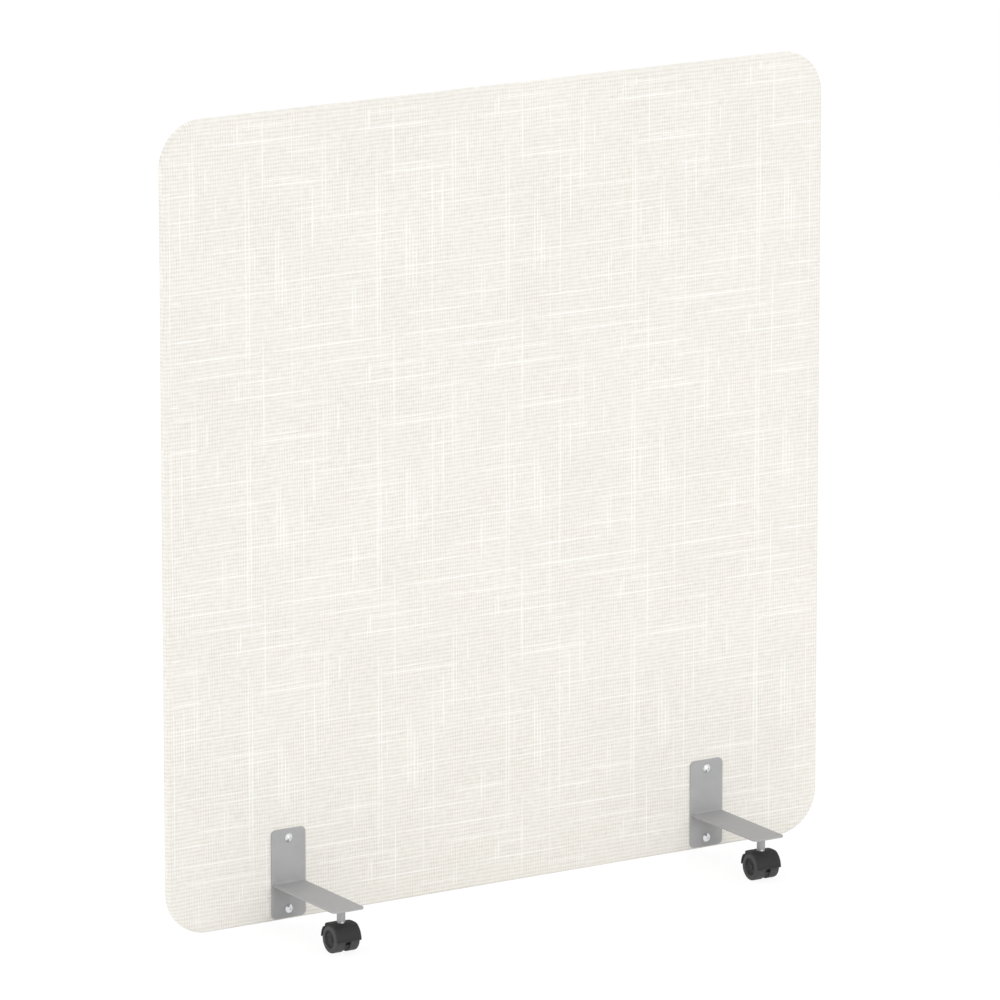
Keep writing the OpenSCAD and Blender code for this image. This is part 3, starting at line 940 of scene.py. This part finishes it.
@dataclass(frozen=True)
class Studio:
    """Floor, lamps, world and camera.

    The world and the floor show white to the camera, in reflections and through glass, and light
    the object by less. The key lamp lights the front from above and the low one what the arms
    shade. The fill lamp lights the top edge and the rear, and the edge lamp the left edge.
    """

    camera_place: Triple = (-6.88025, -11.03844, 3.71323)
    camera_azimuth: float = 31.953
    camera_tilt: float = 13.381
    focal_pixels: float = 8734.1
    image_width: int = 1000
    sensor_width: float = 36.0
    view_depth: float = 200.0
    floor_half: float = 40.0
    floor_colour: str = "fafaf9"
    floor_whitening: float = 0.86
    floor_glow: float = 1.05
    ambient: float = 0.83
    lamps: tuple[Lamp, ...] = (
        Lamp("key_lamp", (-0.9, -6.7, 4.2), 3.2, 24.0),
        Lamp("low_lamp", (0.2, -6.0, 0.6), 1.0, 51.0),
        Lamp("fill_lamp", (0.8, 1.6, 5.8), 2.0, 80.0),
        Lamp("edge_lamp", (-6.0, 1.7, 0.9), 2.0, 60.0),
    )

    def build(self) -> None:
        """Builds the whole studio."""
        self._camera()
        self._world()
        self._floor()
        for lamp in self.lamps:
            lamp.build()
        bpy.context.scene.view_settings.view_transform = "Standard"

    def _camera(self) -> None:
        """Stands the camera at the photograph's angle, tilted down and without shift."""
        lens = bpy.data.cameras.new("camera")
        lens.sensor_width = self.sensor_width
        lens.lens = self.focal_pixels / self.image_width * self.sensor_width
        lens.clip_end = self.view_depth
        camera = bpy.data.objects.new("camera", lens)
        camera.location = self.camera_place
        camera.rotation_euler = (
            math.radians(90 - self.camera_tilt), 0.0, -math.radians(self.camera_azimuth))
        bpy.context.scene.collection.objects.link(camera)
        bpy.context.scene.camera = camera

    @staticmethod
    def _seen_directly(tree: bpy.types.NodeTree) -> bpy.types.Node:
        """Adds what tells camera, glossy and transmission rays from those that carry light.

        Args:
            tree: the node tree that it goes into.

        Returns:
            1 for a ray that shows the background and 0 for one that lights.
        """
        path = add_node(tree, "ShaderNodeLightPath").outputs
        seen = add_node(tree, "ShaderNodeMath", {
            0: path["Is Camera Ray"], 1: path["Is Glossy Ray"]}, operation="MAXIMUM")
        return add_node(tree, "ShaderNodeMath", {
            0: seen, 1: path["Is Transmission Ray"]}, operation="MAXIMUM")

    def _world(self) -> None:
        """Lights evenly from all round, and shows plain white behind the object."""
        world = bpy.data.worlds.new("studio_world")
        world.use_nodes = True
        tree = world.node_tree
        tree.nodes.clear()
        light = add_node(tree, "ShaderNodeBackground", {"Color": WHITE, "Strength": self.ambient})
        white = add_node(tree, "ShaderNodeBackground", {"Color": WHITE, "Strength": 1.0})
        mixed = add_node(tree, "ShaderNodeMixShader", {
            0: self._seen_directly(tree), 1: light, 2: white})
        add_node(tree, "ShaderNodeOutputWorld", {"Surface": mixed})
        bpy.context.scene.world = world

    def _floor(self) -> None:
        """Lays a pale floor that looks white and keeps a faint shadow."""
        corners = np.array([[-1, -1, 0], [1, -1, 0], [1, 1, 0], [-1, 1, 0]]) * self.floor_half
        floor = new_piece("studio_floor", corners, [np.array([[0, 1, 2, 3]])])
        material = new_material("studio_floor")
        tree = material.node_tree
        matt = add_node(tree, "ShaderNodeBsdfDiffuse", {"Color": linear(self.floor_colour)})
        white = add_node(tree, "ShaderNodeEmission", {
            "Color": WHITE, "Strength": self.floor_glow})
        share = add_node(tree, "ShaderNodeMath", {
            0: self._seen_directly(tree), 1: self.floor_whitening}, operation="MULTIPLY")
        mixed = add_node(tree, "ShaderNodeMixShader", {0: share, 1: matt, 2: white})
        add_node(tree, "ShaderNodeOutputMaterial", {"Surface": mixed})
        dress(floor, material)


def main() -> None:
    """Builds the studio and the object."""
    logging.basicConfig(level=logging.INFO, format="%(name)s: %(message)s")
    for part in (Studio(), Panel(), Brackets(), Casters()):
        part.build()
        LOG.info("%s built", type(part).__name__)


if __name__ == "__main__":
    main()
